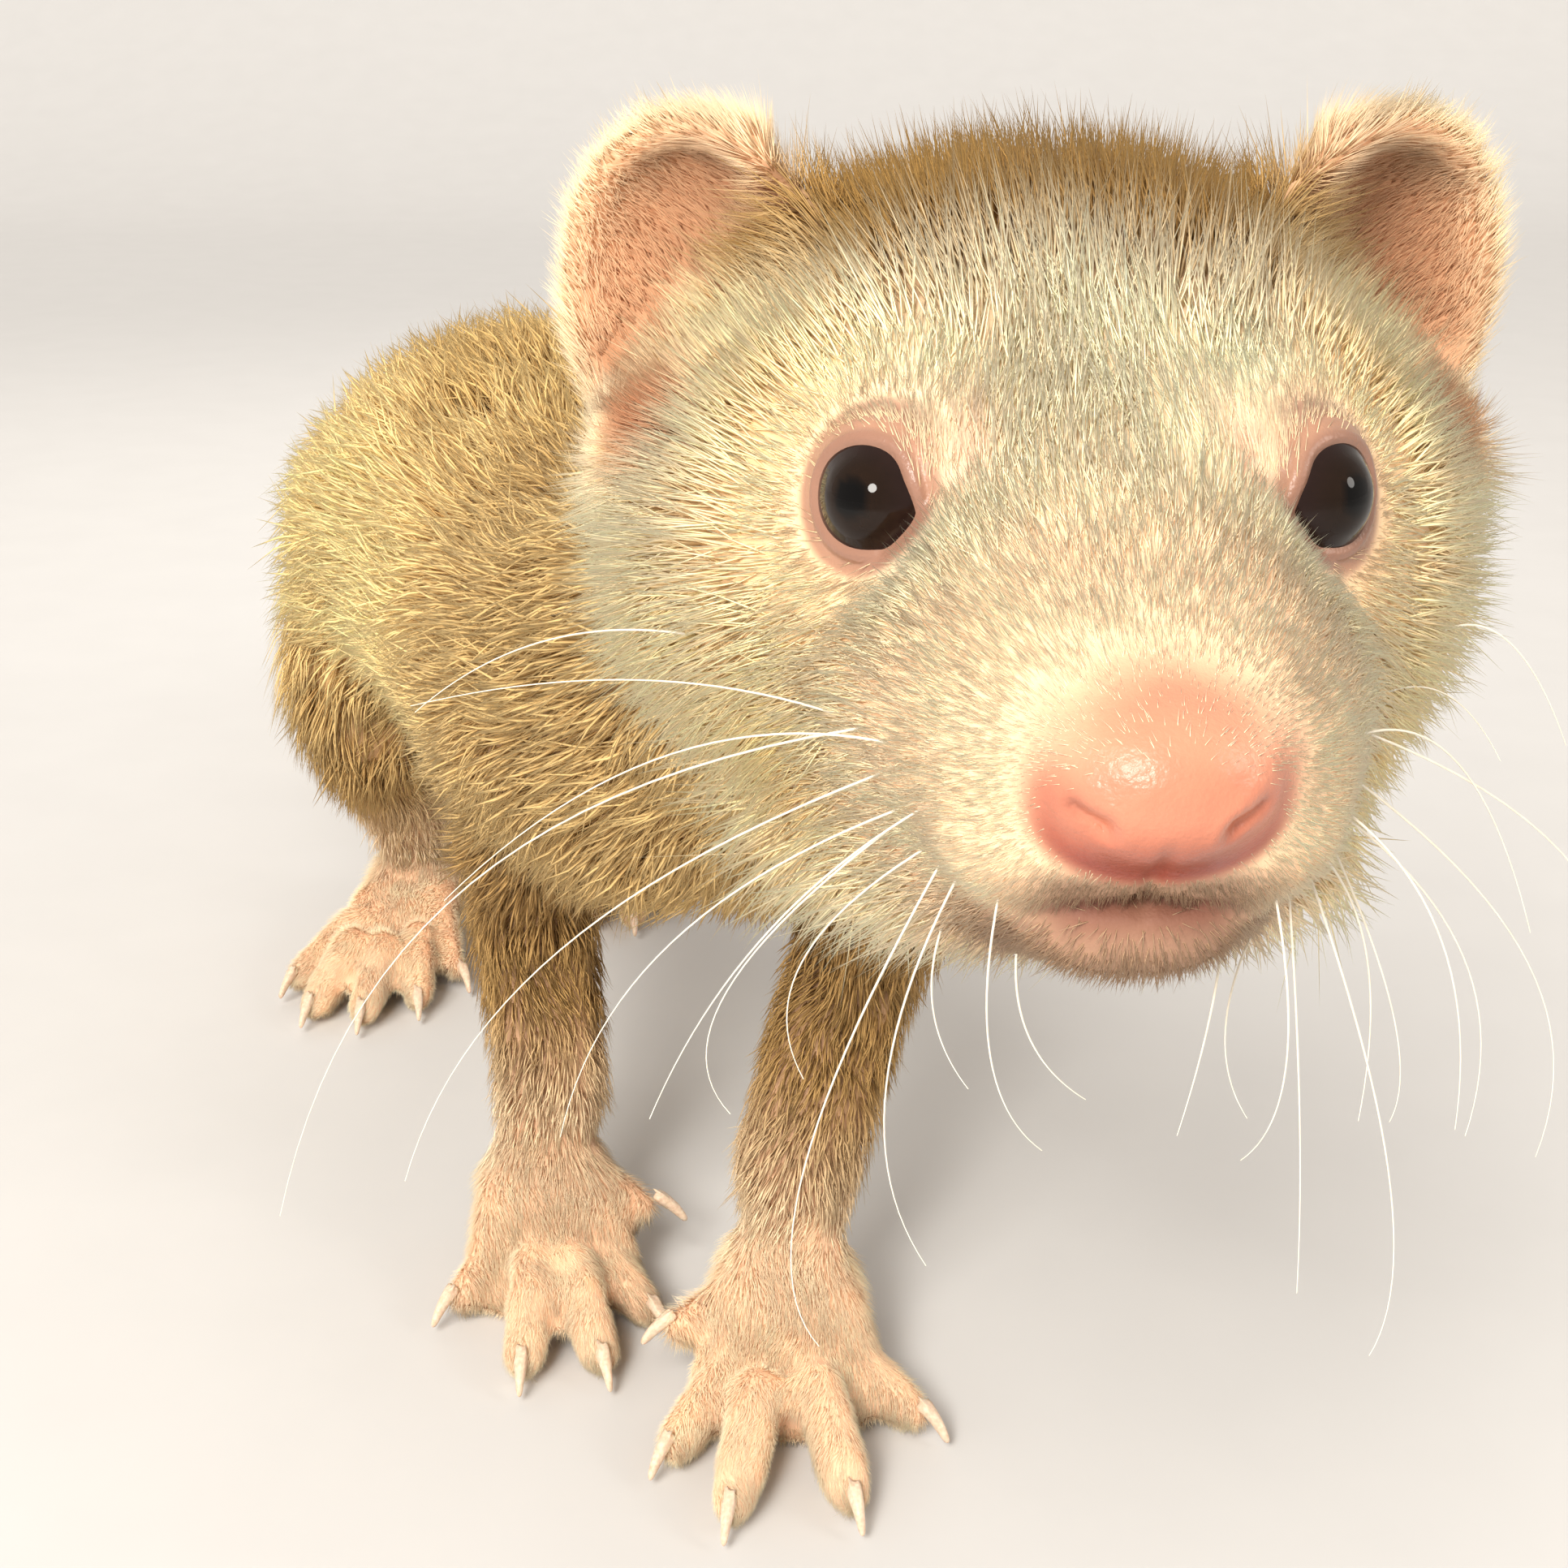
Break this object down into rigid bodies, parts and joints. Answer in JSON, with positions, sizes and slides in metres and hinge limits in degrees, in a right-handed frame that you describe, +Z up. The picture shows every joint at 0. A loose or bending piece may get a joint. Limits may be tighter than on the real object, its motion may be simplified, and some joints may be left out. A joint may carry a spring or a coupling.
{
  "type": "ferret",
  "caption": "Life-size standing ferret with raised head, arched back, fanned clawed feet and low tail; a still animal model.",
  "frame": {"origin": "bottom centre of the bounding box, on the floor the feet stand on", "axes": "+Z up, the face towards -Y, the tail towards +Y, the animal's right side towards -X"},
  "size_m": [0.1236, 0.3618, 0.1242],
  "materials": {
    "cream_fur": "soft cream-white fur",
    "sandy_fur": "soft golden-cream fur shaded sandy brown",
    "pale_foot": "short pinkish-cream fur over bare pads",
    "ear_skin": "thin pink ear under fine pale fur",
    "pink_nose": "moist bare pink skin",
    "dark_eye": "wet and glossy, near black brown",
    "claw_horn": "smooth pale horn"
  },
  "bodies": {
    "root": {"head": "cream_fur", "lower_jaw": "cream_fur", "nose": "pink_nose", "eye_right": "dark_eye", "ear_right": "ear_skin", "eye_left": "dark_eye", "ear_left": "ear_skin", "neck": "cream_fur", "chest": "sandy_fur", "loin": "sandy_fur", "rump": "sandy_fur", "tail_base": "sandy_fur", "tail_tip": "sandy_fur", "front_right_upper_arm": "sandy_fur", "front_right_forearm": "sandy_fur", "front_right_foot": "pale_foot", "front_right_claw_1": "claw_horn", "front_right_claw_2": "claw_horn", "front_right_claw_3": "claw_horn", "front_right_claw_4": "claw_horn", "front_right_claw_5": "claw_horn", "front_left_upper_arm": "sandy_fur", "front_left_forearm": "sandy_fur", "front_left_foot": "pale_foot", "front_left_claw_1": "claw_horn", "front_left_claw_2": "claw_horn", "front_left_claw_3": "claw_horn", "front_left_claw_4": "claw_horn", "front_left_claw_5": "claw_horn", "hind_right_thigh": "sandy_fur", "hind_right_shank": "sandy_fur", "hind_right_foot": "pale_foot", "hind_right_claw_1": "claw_horn", "hind_right_claw_2": "claw_horn", "hind_right_claw_3": "claw_horn", "hind_right_claw_4": "claw_horn", "hind_right_claw_5": "claw_horn", "hind_left_thigh": "sandy_fur", "hind_left_shank": "sandy_fur", "hind_left_foot": "pale_foot", "hind_left_claw_1": "claw_horn", "hind_left_claw_2": "claw_horn", "hind_left_claw_3": "claw_horn", "hind_left_claw_4": "claw_horn", "hind_left_claw_5": "claw_horn"}
  },
  "joints": []
}
